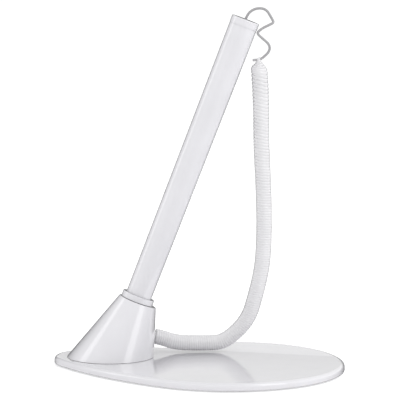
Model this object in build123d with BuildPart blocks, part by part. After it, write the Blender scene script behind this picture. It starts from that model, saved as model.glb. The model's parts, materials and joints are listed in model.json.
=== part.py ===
"""Counter pen on a weighted drop-shaped base, tied to its swivelling holder by a coiled tether.

Millimetres. +Z is up, the origin is the middle of the pad's underside, +X points along the base
towards its wide end, and the holder stands near the narrow end.
"""
import os
from math import atan2, cos, pi, radians, sin, sqrt, tan

from build123d import *

# --- driving dimensions -----------------------------------------------------------------------
BASE_LENGTH = 109.0
WIDE_RADIUS = 42.4
NARROW_RADIUS = 14.0
FLANK_RADIUS = 128.0
NECK_BACK = 23.6
NECK_CORNER = 15.0
SHOULDER_X = 0.0
SHOULDER_ROOT = 7.0
SHOULDER_CORNER = 5.0
PAD_THICKNESS = 0.5
COVER_TOP = 1.1
CAVITY_TOP = 2.4
PLATE_TOP = 3.3
BACK_RISE = 0.3
CREASE_Y = 21.5
CREASE_RADIUS = 25.0
RIM_ROUNDING = 1.4
SHELL_WALL = 2.0
COVER_LEDGE = 1.2

PIVOT_X = -33.1
HEADING = 21.3
LEAN = 21.27
SWIVEL_HOLE_RADIUS = 4.05
SWIVEL_GAP = 0.1
HUB_RADIUS = 13.0
HUB_THICKNESS = 1.7
WASHER_RADIUS = 6.0
WASHER_THICKNESS = 0.45
SCREW_RADIUS = 1.2

CONE_FOOT_RADIUS = 16.05
CONE_FOOT_SHIFT = -0.3
CONE_TOP_RADIUS = 7.15
CONE_TOP_SHIFT = 0.45
CONE_TOP_REACH = 9.5
CONE_TOP_HEIGHT = 24.05
SEAT_GAP = 0.1
MOUTH_RADIUS = 5.4

COLLAR_RADIUS = 6.05
COLLAR_HEIGHT = 2.2
SEAM_WIDTH = 0.2
SEAM_DEPTH = 0.12
BARREL_LOW_RADIUS = 4.8
BARREL_HIGH_RADIUS = 5.2
BARREL_BORE_RADIUS = 3.9
CAP_SEAM = 108.9
CAP_TOP = 111.6
CAP_RADIUS = 5.28
SPIGOT_RADIUS = 3.85
SPIGOT_LENGTH = 8.0
FRONT_LENGTH = 12.8
NOSE_END = 17.2
WRITING_END = 17.9

STRAND_RADIUS = 0.475
COIL_RADIUS = 2.86
STRAND_HOLE_RADIUS = 0.6
GLAND_RADIUS = 3.3
GLAND_LENGTH = 5.0
GLAND_NECK_RADIUS = 2.0
GLAND_NECK_LENGTH = 2.0
ANCHOR_RADIUS = 1.3
ANCHOR_LENGTH = 3.0

# The coil's route in the holder's own frame: reach along the lean, distance to its left, height.
COIL_ROUTE = [
    (15.9, 6.6, 9.5),
    (19.8, 6.5, 8.7),
    (24.7, 6.2, 6.8),
    (36.0, 5.7, 6.6),
    (43.0, 5.2, 6.9),
    (51.6, 4.7, 15.1),
    (54.5, 4.2, 25.2),
    (56.9, 3.4, 36.2),
    (57.4, 2.8, 50.0),
    (56.9, 2.0, 66.0),
    (55.9, 1.3, 82.3),
    (55.8, 0.5, 99.0),
    (54.9, -0.5, 112.3),
]

# The lead's bends in the same frame, after it leaves the end plug, each with its bend radius.
LEAD_BENDS = [
    (51.75, -0.1, 131.9, 4.0),
    (59.1, -0.6, 131.7, 4.0),
    (60.6, -1.3, 125.9, 1.5),
    (54.3, -2.0, 123.85, 1.2),
    (54.0, -2.0, 122.4, 1.2),
    (59.7, -1.3, 118.0, 2.8),
    (56.5, -0.7, 113.1, 2.8),
]
LEAD_STUB_END = (52.4, -0.5, 112.9)

# --- frames -------------------------------------------------------------------------------------
heading = radians(HEADING)
lean = radians(LEAN)
holder_frame = Plane(origin=(PIVOT_X, 0, 0), x_dir=(cos(heading), sin(heading), 0), z_dir=(0, 0, 1))
pen_direction = Vector(sin(lean) * cos(heading), sin(lean) * sin(heading), cos(lean))
pen_across = Vector(cos(lean) * cos(heading), cos(lean) * sin(heading), -sin(lean))
pen_start = holder_frame.from_local_coords(Vector(CONE_TOP_REACH, 0, CONE_TOP_HEIGHT))
pen_frame = Plane(origin=pen_start, x_dir=pen_across, z_dir=pen_direction)
pen_section = Plane(origin=pen_start, x_dir=pen_across, z_dir=pen_across.cross(pen_direction))
pen_axis = Axis(pen_start, pen_direction)
pivot_axis = Axis((PIVOT_X, 0, 0), (0, 0, 1))
foot_height = PLATE_TOP + SWIVEL_GAP


def in_holder(point):
    """A point of the holder's frame, in the part's frame."""
    return holder_frame.from_local_coords(Vector(*point))


def drop_outline(inset):
    """The base's outline, pulled in by inset.

    Two end arcs joined by long convex flanks, the back one cut straight along the neck up to a
    rounded shoulder.
    """
    narrow_x = NARROW_RADIUS - BASE_LENGTH / 2
    wide_x = BASE_LENGTH / 2 - WIDE_RADIUS
    span = wide_x - narrow_x
    to_narrow = FLANK_RADIUS - NARROW_RADIUS
    to_wide = FLANK_RADIUS - WIDE_RADIUS
    flank_x = narrow_x + (to_narrow**2 - to_wide**2 + span**2) / (2 * span)
    flank_y = -sqrt(to_narrow**2 - (flank_x - narrow_x) ** 2)
    wide_turn = atan2(-flank_y, wide_x - flank_x)
    narrow_turn = atan2(-flank_y, narrow_x - flank_x)
    middle_turn = (wide_turn + narrow_turn) / 2

    def on_flank(turn, side):
        reach = FLANK_RADIUS - inset
        return (flank_x + reach * cos(turn), side * (flank_y + reach * sin(turn)))

    with BuildSketch(Plane.XY, mode=Mode.PRIVATE) as outline:
        with BuildLine():
            ThreePointArc(on_flank(wide_turn, -1), (BASE_LENGTH / 2 - inset, 0), on_flank(wide_turn, 1))
            ThreePointArc(on_flank(wide_turn, 1), on_flank(middle_turn, 1), on_flank(narrow_turn, 1))
            ThreePointArc(on_flank(narrow_turn, 1), (inset - BASE_LENGTH / 2, 0), on_flank(narrow_turn, -1))
            ThreePointArc(on_flank(narrow_turn, -1), on_flank(middle_turn, -1), on_flank(wide_turn, -1))
        make_face()
        cut_x, cut_y = SHOULDER_X + inset, NECK_BACK - inset
        with BuildLine():
            Polyline(
                (-BASE_LENGTH, cut_y),
                (cut_x, cut_y),
                (cut_x, BASE_LENGTH),
                (-BASE_LENGTH, BASE_LENGTH),
                close=True,
            )
        make_face(mode=Mode.SUBTRACT)
        side = outline.vertices().filter_by(lambda point: abs(point.X - cut_x) < 0.01)
        fillet(side.sort_by(Axis.Y)[0], radius=SHOULDER_ROOT + inset)
        side = outline.vertices().filter_by(lambda point: abs(point.X - cut_x) < 0.01)
        fillet(side.sort_by(Axis.Y)[-1], radius=SHOULDER_CORNER - inset)
        back = outline.vertices().filter_by(lambda point: abs(point.Y - cut_y) < 0.01)
        fillet(back.sort_by(Axis.X)[0], radius=NECK_CORNER - inset)
    return outline.sketch


def turned(profile, section=pen_section, axis=pen_axis):
    """A solid of revolution from (radius, distance along the axis) points."""
    with BuildSketch(section) as outline:
        with BuildLine():
            Polyline(*profile, close=True)
        make_face()
    revolve(outline.sketch, axis=axis)


def save(name, builder):
    """Label a finished piece and write it as its own STEP file."""
    builder.part.label = name
    export_step(builder.part, f"parts/{name}.step")


os.makedirs("parts", exist_ok=True)

# --- base -----------------------------------------------------------------------------------------
# Moulded top shell: flat top that rises slightly behind a soft crease, rounded rim, open underside.
with BuildPart() as base_shell:
    with BuildSketch(Plane.XY.offset(PAD_THICKNESS)):
        add(drop_outline(0))
    extrude(amount=PLATE_TOP + BACK_RISE - PAD_THICKNESS)
    with BuildSketch(Plane.YZ.offset(-BASE_LENGTH)):
        with BuildLine():
            FilletPolyline(
                (-BASE_LENGTH, PLATE_TOP),
                (CREASE_Y, PLATE_TOP),
                (WIDE_RADIUS, PLATE_TOP + BACK_RISE),
                radius=CREASE_RADIUS,
            )
            Polyline(
                (WIDE_RADIUS, PLATE_TOP + BACK_RISE),
                (WIDE_RADIUS, BASE_LENGTH),
                (-BASE_LENGTH, BASE_LENGTH),
                (-BASE_LENGTH, PLATE_TOP),
            )
        make_face()
    extrude(amount=2 * BASE_LENGTH, mode=Mode.SUBTRACT)
    fillet(base_shell.faces().filter_by(Plane.XY).sort_by(Axis.Z)[0].outer_wire().edges(), radius=0.6)
    rim_edges = base_shell.edges().filter_by(lambda edge: edge.center().Z > CAVITY_TOP)
    fillet(rim_edges.filter_by(lambda edge: abs(edge.center().Y - CREASE_Y) > 0.5), radius=RIM_ROUNDING)
    with BuildSketch(Plane.XY.offset(PAD_THICKNESS)):
        add(drop_outline(COVER_LEDGE))
    extrude(amount=COVER_TOP - PAD_THICKNESS, mode=Mode.SUBTRACT)
    with BuildSketch(Plane.XY.offset(COVER_TOP)):
        add(drop_outline(SHELL_WALL))
    extrude(amount=CAVITY_TOP - COVER_TOP, mode=Mode.SUBTRACT)
    with BuildSketch(Plane.XY.offset(CAVITY_TOP)):
        with Locations((PIVOT_X, 0)):
            Circle(SWIVEL_HOLE_RADIUS)
    extrude(amount=PLATE_TOP, mode=Mode.SUBTRACT)
save("base_shell", base_shell)

with BuildPart() as base_cover:
    with BuildSketch(Plane.XY.offset(PAD_THICKNESS)):
        add(drop_outline(COVER_LEDGE + 0.05))
    extrude(amount=COVER_TOP - PAD_THICKNESS)
save("base_cover", base_cover)

# Steel weight, cut out round the swivel's washer.
with BuildPart() as ballast_plate:
    with BuildSketch(Plane.XY.offset(COVER_TOP)):
        add(drop_outline(SHELL_WALL + 0.3))
        with Locations((PIVOT_X, 0)):
            Circle(WASHER_RADIUS + 1, mode=Mode.SUBTRACT)
    extrude(amount=CAVITY_TOP - COVER_TOP - 0.15)
save("ballast_plate", ballast_plate)

with BuildPart() as adhesive_pad:
    with BuildSketch(Plane.XY):
        add(drop_outline(3.0))
    extrude(amount=PAD_THICKNESS)
save("adhesive_pad", adhesive_pad)

# --- swivel ---------------------------------------------------------------------------------------
spigot_end = CAVITY_TOP - SWIVEL_GAP
washer_under = spigot_end - WASHER_THICKNESS
pivot_section = Plane(origin=(PIVOT_X, 0, 0), x_dir=(1, 0, 0), z_dir=(0, -1, 0))

with BuildPart() as swivel_hub:
    turned(
        [
            (0, foot_height + HUB_THICKNESS),
            (HUB_RADIUS, foot_height + HUB_THICKNESS),
            (HUB_RADIUS, foot_height),
            (SWIVEL_HOLE_RADIUS - 0.05, foot_height),
            (SWIVEL_HOLE_RADIUS - 0.05, spigot_end),
            (SCREW_RADIUS, spigot_end),
            (SCREW_RADIUS, foot_height + 1.0),
            (0, foot_height + 1.0),
        ],
        pivot_section,
        pivot_axis,
    )
save("swivel_hub", swivel_hub)

with BuildPart() as swivel_washer:
    with BuildSketch(Plane.XY.offset(washer_under)):
        with Locations((PIVOT_X, 0)):
            Circle(WASHER_RADIUS)
            Circle(SCREW_RADIUS + 0.1, mode=Mode.SUBTRACT)
    extrude(amount=WASHER_THICKNESS)
save("swivel_washer", swivel_washer)

with BuildPart() as pivot_screw:
    with BuildSketch(Plane.XY.offset(COVER_TOP + 0.1)):
        with Locations((PIVOT_X, 0)):
            Circle(2 * SCREW_RADIUS)
    extrude(amount=washer_under - COVER_TOP - 0.1)
    with BuildSketch(Plane.XY.offset(washer_under)):
        with Locations((PIVOT_X, 0)):
            Circle(SCREW_RADIUS)
    extrude(amount=foot_height + 0.9 - washer_under)
    with BuildSketch(Plane.XY.offset(COVER_TOP + 0.1)):
        with Locations((PIVOT_X, 0)):
            Rectangle(3 * SCREW_RADIUS, 0.5)
            Rectangle(0.5, 3 * SCREW_RADIUS)
    extrude(amount=0.35, mode=Mode.SUBTRACT)
save("pivot_screw", pivot_screw)

# --- holder ---------------------------------------------------------------------------------------
gland_face = in_holder(COIL_ROUTE[0])
gland_direction = (in_holder(COIL_ROUTE[1]) - gland_face).normalized()
gland_frame = Plane(origin=gland_face, z_dir=gland_direction)
hub_top = foot_height + HUB_THICKNESS

# Oblique hollow cone: round foot on the plate, smaller round mouth square to the pen.
with BuildPart() as cone_shell:
    with BuildSketch(holder_frame.offset(foot_height)):
        with Locations((CONE_FOOT_SHIFT, 0)):
            Circle(CONE_FOOT_RADIUS)
    with BuildSketch(pen_frame.offset(-SEAT_GAP)):
        with Locations((CONE_TOP_SHIFT, 0)):
            Circle(CONE_TOP_RADIUS)
    loft(ruled=True)
    fillet(cone_shell.edges().sort_by(Axis.Z)[-1], radius=0.25)
    with BuildSketch(holder_frame.offset(foot_height)):
        Circle(HUB_RADIUS)
    extrude(amount=HUB_THICKNESS, mode=Mode.SUBTRACT)
    with BuildSketch(holder_frame.offset(hub_top)):
        with Locations((0.6, 0)):
            Circle(HUB_RADIUS - 0.4)
    with BuildSketch(pen_frame.offset(-2.2)):
        Circle(MOUTH_RADIUS - 0.5)
    loft(ruled=True, mode=Mode.SUBTRACT)
    with BuildSketch(pen_frame.offset(-4)):
        Circle(MOUTH_RADIUS)
    extrude(amount=5, mode=Mode.SUBTRACT)
    with BuildSketch(gland_frame.offset(-GLAND_LENGTH)):
        Circle(GLAND_RADIUS)
    extrude(amount=GLAND_LENGTH + 1, mode=Mode.SUBTRACT)
    with BuildSketch(gland_frame):
        Circle(GLAND_NECK_RADIUS)
    extrude(amount=-GLAND_LENGTH - GLAND_NECK_LENGTH, mode=Mode.SUBTRACT)
save("cone_shell", cone_shell)

# Tapered liner, closed at the bottom, a little wider than the pen's front end all the way down.
with BuildPart() as socket_sleeve:
    turned(
        [
            (4.75, -SEAT_GAP),
            (MOUTH_RADIUS, -SEAT_GAP),
            (MOUTH_RADIUS, -3.0),
            (5.1, -3.4),
            (3.55, -FRONT_LENGTH),
            (2.2, -NOSE_END),
            (2.1, -19.3),
            (0, -19.3),
            (0, -18.6),
            (1.4, -18.6),
            (1.5, -NOSE_END),
            (2.85, -FRONT_LENGTH),
        ]
    )
save("socket_sleeve", socket_sleeve)

# Stepped bush through the cone's wall, with a hole for the strand.
with BuildPart() as cord_gland:
    with BuildSketch(gland_frame):
        Circle(GLAND_RADIUS)
    extrude(amount=-GLAND_LENGTH)
    with BuildSketch(gland_frame.offset(-GLAND_LENGTH)):
        Circle(GLAND_NECK_RADIUS)
    extrude(amount=-GLAND_NECK_LENGTH)
    with BuildSketch(gland_frame):
        Circle(STRAND_HOLE_RADIUS)
    extrude(amount=-GLAND_LENGTH - GLAND_NECK_LENGTH, mode=Mode.SUBTRACT)
save("cord_gland", cord_gland)

with BuildPart() as cord_anchor:
    with BuildSketch(gland_frame.offset(-GLAND_LENGTH - GLAND_NECK_LENGTH)):
        Circle(ANCHOR_RADIUS)
    extrude(amount=-ANCHOR_LENGTH)
save("cord_anchor", cord_anchor)


def bend_radii(points, share=0.45):
    """The largest even bend radius at each corner of a route of straight runs."""
    radii = []
    for before, corner, after in zip(points, points[1:], points[2:]):
        turn = radians((corner - before).get_angle(after - corner))
        run = min((corner - before).length, (after - corner).length)
        radii.append(share * run / tan(turn / 2))
    return radii


# The coiled tether's outer shape: one tube along its route, level behind the cone, then hanging.
coil_points = [in_holder(point) for point in COIL_ROUTE]
coil_radii = bend_radii(coil_points)
with BuildPart() as coil_cord:
    with BuildLine() as coil_path:
        FilletPolyline(*coil_points, radius=coil_radii)
    with BuildSketch(Plane(origin=coil_path.line @ 0, z_dir=coil_path.line % 0)):
        Circle(COIL_RADIUS)
    sweep(path=coil_path.line)
save("coil_cord", coil_cord)

# --- tether end -----------------------------------------------------------------------------------
# Formed wire: out of the end plug, over the top in an arch, back to the pen, and a hook at the end.
lead_points = [pen_start + pen_direction * (CAP_TOP - 4.6)]
lead_points += [in_holder(bend[:3]) for bend in LEAD_BENDS]
lead_points += [in_holder(LEAD_STUB_END)]
with BuildPart() as cord_lead:
    with BuildLine() as lead_path:
        FilletPolyline(*lead_points, radius=[bend[3] for bend in LEAD_BENDS])
    with BuildSketch(Plane(origin=lead_path.line @ 0, z_dir=lead_path.line % 0)):
        Circle(STRAND_RADIUS)
    sweep(path=lead_path.line)
save("cord_lead", cord_lead)

with BuildPart() as lead_ferrule:
    turned([(0, 105.5), (1.6, 105.5), (1.6, CAP_TOP - 4.6), (0, CAP_TOP - 4.6)])
save("lead_ferrule", lead_ferrule)

# --- pen ------------------------------------------------------------------------------------------
with BuildPart() as barrel:
    turned(
        [
            (BARREL_BORE_RADIUS, COLLAR_HEIGHT),
            (BARREL_LOW_RADIUS - SEAM_DEPTH, COLLAR_HEIGHT),
            (BARREL_LOW_RADIUS - SEAM_DEPTH, COLLAR_HEIGHT + SEAM_WIDTH),
            (BARREL_LOW_RADIUS, COLLAR_HEIGHT + SEAM_WIDTH),
            (BARREL_HIGH_RADIUS, CAP_SEAM - SEAM_WIDTH),
            (BARREL_HIGH_RADIUS - SEAM_DEPTH, CAP_SEAM - SEAM_WIDTH),
            (BARREL_HIGH_RADIUS - SEAM_DEPTH, CAP_SEAM),
            (BARREL_BORE_RADIUS, CAP_SEAM),
        ]
    )
save("barrel", barrel)

chamber_radius = 2.2
with BuildPart() as end_plug:
    turned(
        [
            (STRAND_HOLE_RADIUS, CAP_TOP),
            (CAP_RADIUS, CAP_TOP),
            (CAP_RADIUS, CAP_SEAM),
            (SPIGOT_RADIUS, CAP_SEAM),
            (SPIGOT_RADIUS, CAP_SEAM - SPIGOT_LENGTH),
            (chamber_radius, CAP_SEAM - SPIGOT_LENGTH),
            (chamber_radius, CAP_TOP - 1.7),
            (STRAND_HOLE_RADIUS, CAP_TOP - 1.7),
        ]
    )
    rim = end_plug.edges().filter_by(GeomType.CIRCLE).filter_by(lambda edge: edge.radius > 5)
    fillet(rim.sort_by(Axis.Z)[-1], radius=0.4)
save("end_plug", end_plug)

with BuildPart() as plug_retainer:
    low = CAP_SEAM - SPIGOT_LENGTH + 0.5
    turned([(0, low), (chamber_radius, low), (chamber_radius, low + 1.5), (0, low + 1.5)])
save("plug_retainer", plug_retainer)

with BuildPart() as collar_ring:
    turned(
        [
            (BARREL_BORE_RADIUS, 0),
            (COLLAR_RADIUS, 0),
            (COLLAR_RADIUS, COLLAR_HEIGHT),
            (BARREL_BORE_RADIUS, COLLAR_HEIGHT),
        ]
    )
    rings = collar_ring.edges().filter_by(GeomType.CIRCLE)
    fillet(rings.filter_by(lambda edge: edge.radius > 5), radius=0.15)
save("collar_ring", collar_ring)

refill_radius = 1.55
with BuildPart() as front_section:
    turned(
        [
            (refill_radius + 0.1, 9.0),
            (SPIGOT_RADIUS, 9.0),
            (SPIGOT_RADIUS, 0),
            (4.35, 0),
            (2.45, -FRONT_LENGTH),
            (refill_radius + 0.1, -FRONT_LENGTH),
        ]
    )
save("front_section", front_section)

with BuildPart() as nose_tip:
    turned([(1.1, -FRONT_LENGTH), (2.45, -FRONT_LENGTH), (1.35, -NOSE_END), (1.1, -NOSE_END)])
save("nose_tip", nose_tip)

tube_bore = 1.15
with BuildPart() as refill_tube:
    turned([(tube_bore, -9.0), (refill_radius, -9.0), (refill_radius, 88.0), (tube_bore, 88.0)])
save("refill_tube", refill_tube)

with BuildPart() as refill_tip:
    turned(
        [
            (0, -5.0),
            (tube_bore, -5.0),
            (tube_bore, -9.0),
            (1.0, -9.0),
            (1.0, -NOSE_END + 1.0),
            (0.55, -WRITING_END),
            (0.39, -WRITING_END),
            (0.39, -WRITING_END + 0.6),
            (0, -WRITING_END + 0.6),
        ]
    )
save("refill_tip", refill_tip)

ball_radius = 0.37
ball_centre = pen_start - pen_direction * (WRITING_END - 0.12)
with BuildPart() as writing_ball:
    with Locations(ball_centre):
        Sphere(ball_radius)
save("writing_ball", writing_ball)

# --- route checks ---------------------------------------------------------------------------------
for name, path, radius, piece in (
    ("coil", coil_path, COIL_RADIUS, coil_cord),
    ("lead", lead_path, STRAND_RADIUS, cord_lead),
):
    length = path.wire().length
    print(f"{name}: length {length:.1f}, volume {piece.part.volume:.1f} of {pi * radius**2 * length:.1f}")
print("coil bend radii:", " ".join(f"{radius:.1f}" for radius in coil_radii))
coil_runs = [(b - a).length for a, b in zip(coil_points, coil_points[1:])]
print("coil runs:", " ".join(f"{run:.1f}" for run in coil_runs))
lead_turns = [
    (b - a).get_angle(c - b) for a, b, c in zip(lead_points, lead_points[1:], lead_points[2:])
]
print("lead turns:", " ".join(f"{turn:.0f}" for turn in lead_turns))
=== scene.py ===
"""Looks of the counter pen: camera, tether, materials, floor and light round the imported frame.

Metres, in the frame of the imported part: +Z up, +X along the base towards its wide end.
"""
import json
import math

import bpy
import numpy as np
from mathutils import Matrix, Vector


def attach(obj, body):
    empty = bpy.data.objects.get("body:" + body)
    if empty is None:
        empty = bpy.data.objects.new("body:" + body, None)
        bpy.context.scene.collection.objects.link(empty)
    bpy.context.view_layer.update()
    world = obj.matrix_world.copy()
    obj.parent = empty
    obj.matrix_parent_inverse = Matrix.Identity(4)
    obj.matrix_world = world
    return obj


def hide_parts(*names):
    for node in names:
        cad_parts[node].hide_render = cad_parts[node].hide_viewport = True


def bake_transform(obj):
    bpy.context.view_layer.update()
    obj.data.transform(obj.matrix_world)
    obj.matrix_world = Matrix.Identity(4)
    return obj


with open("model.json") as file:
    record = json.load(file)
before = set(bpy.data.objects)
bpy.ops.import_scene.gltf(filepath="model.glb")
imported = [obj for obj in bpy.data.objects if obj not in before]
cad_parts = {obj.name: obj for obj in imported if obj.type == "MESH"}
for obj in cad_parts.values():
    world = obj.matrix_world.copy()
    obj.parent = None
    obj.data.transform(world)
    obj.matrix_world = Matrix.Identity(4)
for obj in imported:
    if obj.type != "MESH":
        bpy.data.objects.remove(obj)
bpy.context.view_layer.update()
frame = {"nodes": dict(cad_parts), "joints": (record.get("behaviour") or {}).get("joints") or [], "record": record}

# --- camera -------------------------------------------------------------------------------------
# The camera's azimuth about the object in radians, and its elevation in degrees.
CAMERA_AZIMUTH = math.radians(15.3)
CAMERA_ELEVATION = 7.7
CAMERA_DISTANCE = 1.2096
CAMERA_LENS = 297.6
CLIP_END = 20
AIM_ACROSS = 0.00095
AIM_HEIGHT = 0.06293

# Level directions to the camera's right and away from it.
across = Vector((math.cos(CAMERA_AZIMUTH), math.sin(CAMERA_AZIMUTH), 0))
away = Vector((-math.sin(CAMERA_AZIMUTH), math.cos(CAMERA_AZIMUTH), 0))
up = Vector((0, 0, 1))


def toward(azimuth, elevation):
    """A direction from the object, in degrees: azimuth 0 is towards the camera, 90 to its right."""
    turn, rise = math.radians(azimuth), math.radians(elevation)
    level = across * math.sin(turn) - away * math.cos(turn)
    return level * math.cos(rise) + up * math.sin(rise)


def aim(thing, place, target):
    """Stand a camera or light at a place and point it at a target."""
    thing.location = place
    thing.rotation_euler = (Vector(target) - Vector(place)).to_track_quat("-Z", "Y").to_euler()


def add_camera():
    camera = bpy.data.objects.new("camera", bpy.data.cameras.new("camera"))
    bpy.context.scene.collection.objects.link(camera)
    camera.data.lens = CAMERA_LENS
    camera.data.clip_end = CLIP_END
    target = across * AIM_ACROSS + up * AIM_HEIGHT
    aim(camera, target + toward(0, CAMERA_ELEVATION) * CAMERA_DISTANCE, target)
    bpy.context.scene.camera = camera


add_camera()

# --- the holder's own frame ---------------------------------------------------------------------
joints = {joint["name"]: joint for joint in frame["joints"]}
pivot = Vector(joints["holder_swivel"]["pos_m"])
pen_direction = Vector(joints["pen_spin"]["axis"]).normalized()
reach_direction = Vector((pen_direction.x, pen_direction.y, 0)).normalized()
left_direction = up.cross(reach_direction)


def in_holder(reach, left, height):
    """A point given as reach along the pen's lean, distance to its left, and height."""
    return pivot + reach_direction * reach + left_direction * left + up * height


# --- tether -------------------------------------------------------------------------------------
STRAND = 0.00095
COIL_SIDES = 12
LEAD_SIDES = 16
CURVE_STEPS = 24

# The coil's route in the holder's frame, from the gland in the cone to the top of its dome.
COIL_ROUTE = [
    (0.0159, 0.0066, 0.0095),
    (0.0198, 0.0065, 0.0087),
    (0.0247, 0.0062, 0.0068),
    (0.0360, 0.0057, 0.0066),
    (0.0430, 0.0052, 0.0069),
    (0.0516, 0.0047, 0.0151),
    (0.0545, 0.0042, 0.0252),
    (0.0569, 0.0034, 0.0362),
    (0.0574, 0.0028, 0.0500),
    (0.0569, 0.0020, 0.0660),
    (0.0559, 0.0013, 0.0823),
    (0.0558, 0.0005, 0.0990),
    (0.0547, -0.0005, 0.1135),
]

# The formed lead, from inside the end plug to its hooked end at the coil's top.
LEAD_ROUTE = [
    (0.0484, 0.0000, 0.1240),
    (0.0498, 0.0000, 0.1281),
    (0.0513, -0.0001, 0.1308),
    (0.0541, -0.0003, 0.1322),
    (0.0574, -0.0005, 0.1318),
    (0.0592, -0.0008, 0.1289),
    (0.0603, -0.0013, 0.1268),
    (0.0588, -0.0016, 0.1262),
    (0.0553, -0.0019, 0.1245),
    (0.0538, -0.0020, 0.1230),
    (0.0557, -0.0018, 0.1213),
    (0.0587, -0.0014, 0.1187),
    (0.0587, -0.0010, 0.1162),
    (0.0561, -0.0008, 0.1137),
    (0.0546, -0.0006, 0.1131),
    (0.0525, -0.0005, 0.1130),
]


def route_curve(name, points):
    """A smooth open NURBS curve through the holder's frame."""
    curve = bpy.data.curves.new(name, "CURVE")
    curve.dimensions = "3D"
    curve.resolution_u = CURVE_STEPS
    spline = curve.splines.new("NURBS")
    spline.points.add(len(points) - 1)
    for control, point in zip(spline.points, points):
        control.co = (*in_holder(*point), 1)
    spline.order_u = 3
    spline.use_endpoint_u = True
    return curve


def line_of(curve):
    """The points along a curve that has no bevel."""
    holder = bpy.data.objects.new("line", curve)
    mesh = bpy.data.meshes.new_from_object(holder)
    points = np.array([vertex.co for vertex in mesh.vertices], float)
    bpy.data.meshes.remove(mesh)
    bpy.data.objects.remove(holder)
    return points


def lengths_along(points):
    """The distance along the line to each of its points."""
    return np.concatenate([[0], np.cumsum(np.linalg.norm(np.diff(points, axis=0), axis=1))])


def unit(vectors):
    """The rows of an array, each scaled to a length of 1."""
    return vectors / np.linalg.norm(vectors, axis=1)[:, None]


def carried_frames(points):
    """A tangent and two sideways directions at each point, carried along without twisting."""
    tangents = unit(np.gradient(points, axis=0))
    side = np.cross(tangents[0], (0, 0, 1.0))
    sides = []
    for tangent in tangents:
        side = side - tangent * (side @ tangent)
        side = side / np.linalg.norm(side)
        sides.append(side)
    sides = np.array(sides)
    return tangents, sides, np.cross(tangents, sides)


def strand_mesh(name, points, outward, thick, wide, around):
    """A closed oval tube along a line of points: thick in the outward direction, wide across it."""
    tangents = unit(np.gradient(points, axis=0))
    outward = unit(outward - tangents * np.sum(outward * tangents, axis=1)[:, None])
    sideways = np.cross(tangents, outward)
    angles = np.linspace(0, 2 * np.pi, around, endpoint=False)
    rings = [
        points
        + math.cos(angle) * thick[:, None] / 2 * outward
        + math.sin(angle) * wide[:, None] / 2 * sideways
        for angle in angles
    ]
    vertices = np.stack(rings, axis=1).reshape(-1, 3)
    faces = []
    for ring in range(len(points) - 1):
        for step in range(around):
            near, far = ring * around, (ring + 1) * around
            turn = (step + 1) % around
            faces.append((near + step, near + turn, far + turn, far + step))
    faces.append(tuple(reversed(range(around))))
    last = (len(points) - 1) * around
    faces.append(tuple(range(last, last + around)))
    mesh = bpy.data.meshes.new(name)
    mesh.from_pydata(vertices.tolist(), [], faces)
    mesh.shade_smooth()
    piece = bpy.data.objects.new(name, mesh)
    bpy.context.scene.collection.objects.link(piece)
    return piece


# How the coil changes with the distance from its top end: each ..._ZONES list holds distances, and
# the lists under it hold the values there.
ZONES = [0, 0.010, 0.024, 0.085, 0.200]
COIL_WIDTH = [0.0061, 0.0062, 0.0060, 0.0058, 0.0058]
STRAND_WIDTH = [0.00155, 0.00155, 0.00140, 0.00130, 0.00130]
PITCH_ZONES = [0, 0.0040, 0.0070, 0.024, 0.085]
TURN_PITCH = [0.00070, 0.00075, 0.00150, 0.00120, 0.00084]
# The slope of the turns: how far a turn falls back along the route for each metre that it
# reaches to the camera's right.
LEAN_ZONES = [0, 0.0030, 0.0060, 0.024, 0.085]
TURN_LEAN = [0, 0.10, 0.55, 0.40, 0]
# The rounded top: its radius as a share of the full one.
DOME_ZONES = [0, 0.0011, 0.0018, 0.0026, 0.0037, 0.0048]
DOME_WIDTH = [0.11, 0.17, 0.32, 0.59, 0.93, 1.0]
# The lower end widens from this share of the full radius over this length.
FOOT_WIDTH = 0.25
FOOT_LENGTH = 0.0012
POINTS_A_TURN = 18
ROUTE_POINTS = 4000


def coil_strand(route):
    """The strand's centreline, outward direction, thickness and width, wound round the route."""
    along = lengths_along(route)
    fine = np.linspace(0, along[-1], ROUTE_POINTS)
    path = np.stack([np.interp(fine, along, route[:, axis]) for axis in range(3)], axis=1)
    tangents, sides, others = carried_frames(path)
    from_top = along[-1] - fine
    pitch = np.interp(from_top, PITCH_ZONES, TURN_PITCH)
    turns = np.concatenate([[0], np.cumsum(np.diff(fine) / pitch[1:])])
    foot = FOOT_WIDTH + (1 - FOOT_WIDTH) * np.clip(fine / FOOT_LENGTH, 0, 1)
    full = (np.interp(from_top, ZONES, COIL_WIDTH) - STRAND) / 2
    radius = full * foot * np.interp(from_top, DOME_ZONES, DOME_WIDTH)
    at = np.linspace(0, turns[-1], int(turns[-1] * POINTS_A_TURN))

    def here(values):
        """Values along the route, taken at each point of the strand."""
        return np.interp(at, turns, values)[:, None]

    def here_vector(values):
        return np.hstack([here(values[:, axis]) for axis in range(3)])

    angle = (2 * np.pi * at)[:, None]
    ring = np.cos(angle) * here_vector(sides) + np.sin(angle) * here_vector(others)
    to_right = (ring @ np.array(across))[:, None]
    lean = here(np.interp(from_top, LEAN_ZONES, TURN_LEAN))
    line = here_vector(path) + here(radius) * (ring - here_vector(tangents) * to_right * lean)
    width = here(np.interp(from_top, ZONES, STRAND_WIDTH))[:, 0]
    return line, ring, np.full(len(line), STRAND), width


def add_coil():
    route = line_of(route_curve("coil_route", COIL_ROUTE))
    line, outward, thick, wide = coil_strand(route)
    piece = strand_mesh("tether_coil", line, outward, thick, wide, COIL_SIDES)
    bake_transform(piece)
    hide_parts("coil_cord")
    return piece


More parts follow.
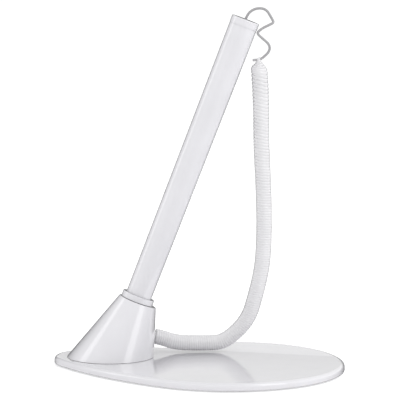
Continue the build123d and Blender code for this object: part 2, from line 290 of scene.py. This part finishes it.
def add_lead():
    line = line_of(route_curve("lead_route", LEAD_ROUTE))
    outward = np.tile(np.array(left_direction), (len(line), 1))
    across_strand = np.full(len(line), STRAND)
    piece = strand_mesh("tether_lead", line, outward, across_strand, across_strand, LEAD_SIDES)
    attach(piece, "tether_end")
    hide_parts("cord_lead")
    return piece


coil = add_coil()
lead = add_lead()

# --- materials ----------------------------------------------------------------------------------
# Sizes and depths of the surface detail in metres, and how much the scratches are squeezed
# along Z.
CLOUD_SIZE = 0.009
GLOSS_SIZE = 0.004
RIPPLE_SIZE = 0.0018
SCRATCH_SIZE = 0.0012
FOAM_CELL_SIZE = 0.0007
FOAM_GLOSS_SIZE = 0.003
FLOOR_CLOUD_SIZE = 0.4
SCRATCH_SQUEEZE = 14
SCRATCH_DEPTH = 0.00001
FOAM_DEPTH = 0.00008
PLASTIC_IOR = 1.5


def add_node(tree, kind, links=(), **values):
    """Add a node, set its properties, and link its inputs or give them values."""
    node = tree.nodes.new(kind)
    for name, value in values.items():
        setattr(node, name, value)
    for socket, source in dict(links).items():
        if isinstance(source, bpy.types.NodeSocket):
            tree.links.new(source, node.inputs[socket])
        else:
            node.inputs[socket].default_value = source
    return node


class Shader:
    """A small wrapper that adds and links a material's nodes."""

    def __init__(self, name):
        self.material = bpy.data.materials.new(name)
        self.material.use_nodes = True
        self.tree = self.material.node_tree
        self.surface = self.tree.nodes["Principled BSDF"]
        self.place = self.add("ShaderNodeTexCoord").outputs["Object"]

    def add(self, kind, links=(), **values):
        return add_node(self.tree, kind, links, **values)

    def noise(self, size, detail=2.0):
        """Noise whose features are about size metres across."""
        sockets = {"Vector": self.place, "Scale": 1 / size, "Detail": detail}
        return self.add("ShaderNodeTexNoise", sockets).outputs["Fac"]

    def between(self, factor, low, high):
        """A value that runs from low to high as the factor runs from 0 to 1."""
        node = self.add("ShaderNodeMapRange", {"Value": factor, "To Min": low, "To Max": high})
        return node.outputs["Result"]

    def colours(self, factor, dark, light):
        """Colour the surface from dark to light by a factor."""
        ramp = self.add("ShaderNodeValToRGB", {"Fac": factor})
        ramp.color_ramp.elements[0].position = 0.3
        ramp.color_ramp.elements[1].position = 0.7
        ramp.color_ramp.elements[0].color = (*dark, 1)
        ramp.color_ramp.elements[1].color = (*light, 1)
        self.link(ramp.outputs["Color"], "Base Color")

    def bump(self, height, depth):
        """Raise the surface by up to depth metres."""
        node = self.add("ShaderNodeBump", {"Height": height, "Distance": depth, "Strength": 1.0})
        self.link(node.outputs["Normal"], "Normal")

    def link(self, source, socket):
        self.tree.links.new(source, self.surface.inputs[socket])

    def set(self, **values):
        for name, value in values.items():
            self.surface.inputs[name.replace("_", " ")].default_value = value


def moulded_plastic(name, dark, light, gloss, ripple, coat=0.0):
    """Injection-moulded plastic: faint cloudy tone, uneven gloss and a very shallow ripple."""
    shader = Shader(name)
    shader.colours(shader.noise(CLOUD_SIZE), dark, light)
    uneven = shader.between(shader.noise(GLOSS_SIZE), gloss * 0.8, gloss * 1.2)
    shader.link(uneven, "Roughness")
    shader.bump(shader.noise(RIPPLE_SIZE, detail=1.0), ripple)
    shader.set(IOR=PLASTIC_IOR, Coat_Weight=coat, Coat_Roughness=gloss, Coat_IOR=PLASTIC_IOR)
    return shader.material


def brushed_metal(name, dark, light, gloss):
    """Turned or rolled metal with fine scratches."""
    shader = Shader(name)
    squeeze = {"Vector": shader.place, "Scale": (1, 1, SCRATCH_SQUEEZE)}
    shader.place = shader.add("ShaderNodeMapping", squeeze).outputs["Vector"]
    scratches = shader.noise(SCRATCH_SIZE, detail=6.0)
    shader.colours(scratches, dark, light)
    shader.link(shader.between(scratches, gloss * 0.7, gloss * 1.3), "Roughness")
    shader.bump(scratches, SCRATCH_DEPTH)
    shader.set(Metallic=1.0)
    return shader.material


def foam_rubber(name, dark, light):
    """Closed-cell foam: small pits, coloured darker than the cell walls as painted shade, and a dull surface."""
    shader = Shader(name)
    sockets = {"Vector": shader.place, "Scale": 1 / FOAM_CELL_SIZE}
    cells = shader.add("ShaderNodeTexVoronoi", sockets).outputs["Distance"]
    # Painted shade: the colour is darkest at the cell centres, where the bump sinks the pits.
    shader.colours(cells, dark, light)
    shader.bump(cells, FOAM_DEPTH)
    shader.link(shader.between(shader.noise(FOAM_GLOSS_SIZE), 0.8, 0.95), "Roughness")
    return shader.material


SLOT_MATERIALS = {
    "white_shell": moulded_plastic(
        "white gloss plastic",
        dark=(0.675, 0.670, 0.696),
        light=(0.695, 0.690, 0.716),
        gloss=0.10,
        ripple=0.0000012,
        coat=1.0,
    ),
    "tether_plastic": moulded_plastic(
        "white tether plastic",
        dark=(0.680, 0.675, 0.690),
        light=(0.710, 0.705, 0.720),
        gloss=0.12,
        ripple=0.000001,
        coat=1.0,
    ),
    "lead_wire": moulded_plastic(
        "grey lead wire",
        dark=(0.33, 0.325, 0.335),
        light=(0.39, 0.385, 0.395),
        gloss=0.3,
        ripple=0.000002,
    ),
    "hidden_plastic": moulded_plastic(
        "satin white plastic",
        dark=(0.70, 0.70, 0.71),
        light=(0.74, 0.74, 0.75),
        gloss=0.35,
        ripple=0.000003,
    ),
    "refill_plastic": moulded_plastic(
        "ink tube plastic",
        dark=(0.02, 0.03, 0.14),
        light=(0.03, 0.045, 0.2),
        gloss=0.15,
        ripple=0.000001,
    ),
    "weight_steel": brushed_metal(
        "plated steel", dark=(0.42, 0.42, 0.43), light=(0.6, 0.6, 0.61), gloss=0.35
    ),
    "nose_metal": brushed_metal(
        "polished nose metal", dark=(0.62, 0.62, 0.64), light=(0.75, 0.75, 0.77), gloss=0.15
    ),
    "refill_brass": brushed_metal(
        "turned brass", dark=(0.6, 0.42, 0.16), light=(0.75, 0.56, 0.25), gloss=0.25
    ),
    "pad_foam": foam_rubber("white foam", (0.5, 0.5, 0.49), (0.68, 0.68, 0.66)),
}


def paint(piece, material):
    piece.data.materials.clear()
    piece.data.materials.append(material)


def paint_nodes():
    """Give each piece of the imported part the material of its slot."""
    slots = {part["node"]: part["material_slot"] for part in frame["record"]["subparts"]}
    for name, node in frame["nodes"].items():
        for slot in node.material_slots:
            slot.material = SLOT_MATERIALS[slots[name]]


paint_nodes()
paint(coil, SLOT_MATERIALS["tether_plastic"])
paint(lead, SLOT_MATERIALS["lead_wire"])

# --- floor and light ----------------------------------------------------------------------------
FLOOR_RADIUS = 7.0
FLOOR_SIDES = 96
FLOOR_GLOW = 0.33
LIGHTS_AIM = Vector((0, 0, 0.05))


def add_floor():
    """A plain pale round floor, with enough glow to meet the white beyond it."""
    mesh = bpy.data.meshes.new("floor")
    turns = [2 * math.pi * step / FLOOR_SIDES for step in range(FLOOR_SIDES)]
    rim = [(FLOOR_RADIUS * math.cos(turn), FLOOR_RADIUS * math.sin(turn), 0) for turn in turns]
    mesh.from_pydata(rim, [], [tuple(range(FLOOR_SIDES))])
    floor = bpy.data.objects.new("floor", mesh)
    bpy.context.scene.collection.objects.link(floor)
    shader = Shader("pale floor")
    shader.colours(shader.noise(FLOOR_CLOUD_SIZE), (0.81, 0.81, 0.815), (0.83, 0.83, 0.83))
    shader.set(
        Roughness=1.0,
        Specular_IOR_Level=0.0,
        Emission_Color=(1, 1, 1, 1),
        Emission_Strength=FLOOR_GLOW,
    )
    paint(floor, shader.material)
    floor.visible_glossy = False


def add_softbox(name, azimuth, elevation, distance, width, height, radiance, in_gloss):
    """A soft rectangular light, placed by its direction in degrees from the object."""
    light = bpy.data.lights.new(name, "AREA")
    light.shape = "RECTANGLE"
    light.size, light.size_y = width, height
    light.energy = radiance * math.pi * width * height
    lamp = bpy.data.objects.new(name, light)
    bpy.context.scene.collection.objects.link(lamp)
    aim(lamp, LIGHTS_AIM + toward(azimuth, elevation) * distance, LIGHTS_AIM)
    lamp.visible_camera = False
    lamp.visible_glossy = in_gloss


# Brightness of the walls that show in reflections, by azimuth in degrees.
WALLS = [
    (-180, 0.05), (-145, 0.05), (-125, 0.3), (-60, 0.35), (5, 0.3), (22, 1.4), (132, 1.4),
    (146, 0.05), (180, 0.05),
]
# The panel behind the object: the share of the walls that it covers, by azimuth, and its
# brightness by elevation, both in degrees.
REAR_WINDOW = [(-180, 1), (-169, 1), (-163, 0), (163, 0), (169, 1), (180, 1)]
REAR_PANEL = [(0, 0.05), (7, 0.2), (9.6, 0.65), (11, 0.9), (24, 0.9)]
# The heights, as sines of the elevation, between which the walls give way to the ceiling.
CEILING_FROM = 0.42
CEILING_TO = 0.75
# Brightness of the ceiling in reflections, and of ceiling and walls as a light.
CEILING_SHINE = 0.85
CEILING_LIGHT = 0.9
WALL_LIGHT = 1.1
# Brightness of the background that the camera sees.
BACKDROP = 1.05
# Sockets of a mix node that mixes colours.
MIX_LOW, MIX_HIGH, MIX_RESULT = 6, 7, 2


def azimuth_stops(levels):
    """The stops of a ramp that runs once round the object, from levels by azimuth in degrees."""
    return [((degrees + 180) / 360, level) for degrees, level in levels]


def add_world():
    """Studio surroundings: white behind everything, and soft grey walls in the reflections."""
    world = bpy.data.worlds.new("studio")
    bpy.context.scene.world = world
    world.use_nodes = True
    tree = world.node_tree
    tree.nodes.clear()

    def add(kind, links=(), **values):
        return add_node(tree, kind, links, **values)

    def ramp(value, stops):
        """Grey levels by a value, from places and levels."""
        node = add("ShaderNodeValToRGB", {"Fac": value})
        for index, (place, level) in enumerate(stops):
            if index < 2:
                element = node.color_ramp.elements[index]
            else:
                element = node.color_ramp.elements.new(0.5)
            element.position = place
            element.color = (level, level, level, 1)
        return node.outputs["Color"]

    def grey(level):
        node = add("ShaderNodeRGB")
        node.outputs[0].default_value = (level, level, level, 1)
        return node.outputs[0]

    def mixed(factor, low, high):
        sockets = {"Factor": factor, MIX_LOW: low, MIX_HIGH: high}
        return add("ShaderNodeMix", sockets, data_type="RGBA").outputs[MIX_RESULT]

    # The direction of a ray as its height and as an azimuth that runs from 0 to 1.
    direction = add("ShaderNodeTexCoord").outputs["Generated"]
    turned = add(
        "ShaderNodeVectorRotate",
        {"Vector": direction, "Angle": -CAMERA_AZIMUTH},
        rotation_type="Z_AXIS",
    )
    parts = add("ShaderNodeSeparateXYZ", {"Vector": turned.outputs["Vector"]})
    height = parts.outputs["Z"]
    toward_camera = add("ShaderNodeMath", {0: parts.outputs["Y"], 1: -1.0}, operation="MULTIPLY")
    azimuth = add(
        "ShaderNodeMath",
        {0: parts.outputs["X"], 1: toward_camera.outputs[0]},
        operation="ARCTAN2",
    )
    around = add(
        "ShaderNodeMapRange",
        {"Value": azimuth.outputs[0], "From Min": -math.pi, "From Max": math.pi},
    ).outputs["Result"]

    ray = add("ShaderNodeLightPath")
    walls = ramp(around, azimuth_stops(WALLS))
    behind = ramp(around, azimuth_stops(REAR_WINDOW))
    rear = ramp(height, [(math.sin(math.radians(degrees)), level) for degrees, level in REAR_PANEL])
    above = add(
        "ShaderNodeMapRange",
        {"Value": height, "From Min": CEILING_FROM, "From Max": CEILING_TO},
        interpolation_type="SMOOTHSTEP",
    ).outputs["Result"]
    shine = mixed(above, mixed(behind, walls, rear), grey(CEILING_SHINE))
    light = mixed(above, grey(WALL_LIGHT), grey(CEILING_LIGHT))
    surroundings = mixed(ray.outputs["Is Diffuse Ray"], shine, light)
    studio = add("ShaderNodeBackground", {"Color": surroundings, "Strength": 1.0})
    seen = add("ShaderNodeBackground", {"Color": (1, 1, 1, 1), "Strength": BACKDROP})
    mix = add("ShaderNodeMixShader", {0: ray.outputs["Is Camera Ray"]})
    tree.links.new(studio.outputs[0], mix.inputs[1])
    tree.links.new(seen.outputs[0], mix.inputs[2])
    output = add("ShaderNodeOutputWorld")
    tree.links.new(mix.outputs[0], output.inputs["Surface"])


# Name, azimuth, elevation, distance, width, height, radiance, and whether it shows in gloss.
SOFTBOXES = [
    ("key strip", 47, 40, 0.60, 0.27, 0.62, 1.45, True),
    ("right fill", 112, 4, 0.80, 0.60, 0.60, 2.6, False),
    ("left fill", -110, 8, 0.80, 0.50, 0.50, 1.0, False),
    ("front fill", -12, 5, 0.80, 0.60, 0.30, 0.3, False),
    ("side strip", -98, 27, 0.60, 0.17, 0.34, 1.1, True),
]

add_floor()
add_world()
for softbox in SOFTBOXES:
    add_softbox(*softbox)
bpy.context.scene.view_settings.view_transform = "Standard"
